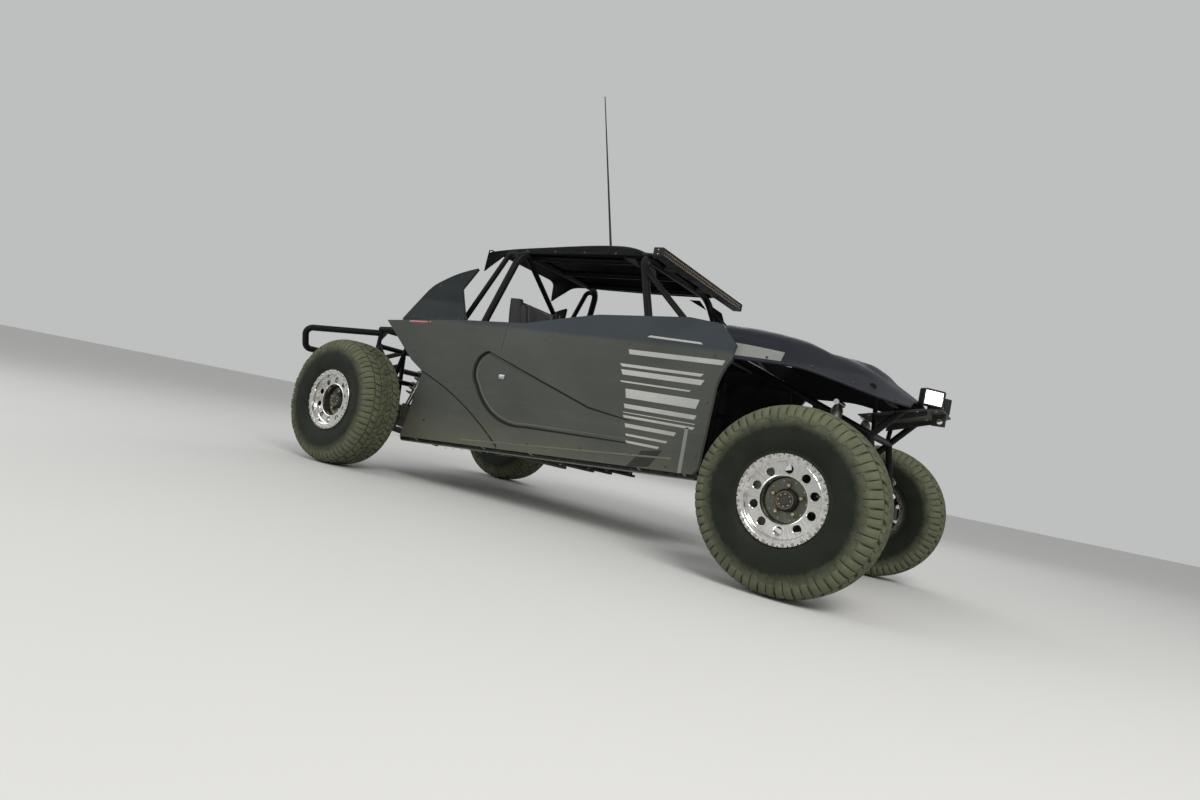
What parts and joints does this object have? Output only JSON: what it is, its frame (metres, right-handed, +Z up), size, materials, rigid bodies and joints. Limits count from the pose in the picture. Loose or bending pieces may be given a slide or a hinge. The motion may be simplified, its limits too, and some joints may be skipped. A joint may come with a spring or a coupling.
{
  "type": "dune buggy",
  "caption": "Two-seat electric off-road race buggy: tube cage, angular body panels, long-travel suspension, beadlock wheels, roof light bar and working steering.",
  "frame": {"origin": "on the ground under the middle of the vehicle's length and width", "axes": "+X forward, +Y to the vehicle's left, +Z up"},
  "size_m": [4.488, 2.242, 3.1429],
  "materials": {
    "painted_cage": "satin",
    "body_panel": "matte",
    "roof_panel": "satin",
    "bare_aluminium": "brushed",
    "battery_case": "satin",
    "drive_casting": "cast",
    "steel_parts": "satin",
    "spring_steel": "satin",
    "knuckle_casting": "machined",
    "tyre": "matte",
    "wheel_alloy": "polished",
    "hub_metal": "machined",
    "lamp_body": "anodised black",
    "lamp_lens": "clear",
    "tail_lamp": "gloss",
    "antenna": "matte",
    "seat_cover": "woven",
    "trim": "matte"
  },
  "bodies": {
    "chassis": {"antenna": "antenna", "battery_pack": "battery_case", "cage_braces": "painted_cage", "dashboard": "trim", "drive_unit": "drive_casting", "floor_pan": "bare_aluminium", "front_frame": "painted_cage", "front_hoop": "painted_cage", "front_lower_arms": "steel_parts", "front_shocks": "spring_steel", "front_upper_arms": "steel_parts", "hood": "body_panel", "light_bar": "lamp_body", "light_bar_lens": "lamp_lens", "main_hoop": "painted_cage", "nose_lamp_lenses": "lamp_lens", "nose_lamps": "lamp_body", "nose_plate": "bare_aluminium", "quarter_fins": "body_panel", "rear_bumper": "painted_cage", "rear_deck": "body_panel", "rear_frame": "painted_cage", "rear_lower_panels": "body_panel", "rear_shocks": "spring_steel", "rear_trailing_arms": "steel_parts", "roof_panel": "roof_panel", "seats": "seat_cover", "side_panels": "body_panel", "steering_wheel": "trim", "tail_lamps": "tail_lamp"},
    "wheel_front_left": {"tyre_front_left": "tyre", "rim_front_left": "wheel_alloy", "hub_front_left": "hub_metal"},
    "wheel_front_right": {"tyre_front_right": "tyre", "rim_front_right": "wheel_alloy", "hub_front_right": "hub_metal"},
    "wheel_rear_left": {"tyre_rear_left": "tyre", "rim_rear_left": "wheel_alloy", "hub_rear_left": "hub_metal"},
    "wheel_rear_right": {"tyre_rear_right": "tyre", "rim_rear_right": "wheel_alloy", "hub_rear_right": "hub_metal"},
    "knuckle_left": {"knuckle_left": "knuckle_casting"},
    "knuckle_right": {"knuckle_right": "knuckle_casting"},
    "steering_rack": {"steering_rack": "steel_parts"}
  },
  "joints": [
    {"name": "steer_left", "type": "hinge", "parent": "chassis", "child": "knuckle_left", "pos_m": [1.775, 0.812, 0.445], "axis": [0, 0, 1], "range_deg": [-28, 28]},
    {"name": "steer_right", "type": "hinge", "parent": "chassis", "child": "knuckle_right", "pos_m": [1.775, -0.812, 0.445], "axis": [0, 0, 1], "range_deg": [-28, 28]},
    {"name": "rack_slide", "type": "slide", "parent": "chassis", "child": "steering_rack", "axis": [0, 1, 0], "range_m": [-0.0612, 0.0612]},
    {"name": "wheel_spin_front_left", "type": "hinge", "parent": "knuckle_left", "child": "wheel_front_left", "pos_m": [1.775, 0.962, 0.445], "axis": [0, 1, 0], "continuous": true},
    {"name": "wheel_spin_front_right", "type": "hinge", "parent": "knuckle_right", "child": "wheel_front_right", "pos_m": [1.775, -0.962, 0.445], "axis": [0, 1, 0], "continuous": true},
    {"name": "wheel_spin_rear_left", "type": "hinge", "parent": "chassis", "child": "wheel_rear_left", "pos_m": [-1.525, 0.952, 0.445], "axis": [0, 1, 0], "continuous": true},
    {"name": "wheel_spin_rear_right", "type": "hinge", "parent": "chassis", "child": "wheel_rear_right", "pos_m": [-1.525, -0.952, 0.445], "axis": [0, 1, 0], "continuous": true}
  ],
  "couplings": [
    {"joint": "steer_right", "follows": "steer_left", "ratio": 1},
    {"joint": "rack_slide", "follows": "steer_left", "m_per_rad": -0.125}
  ]
}
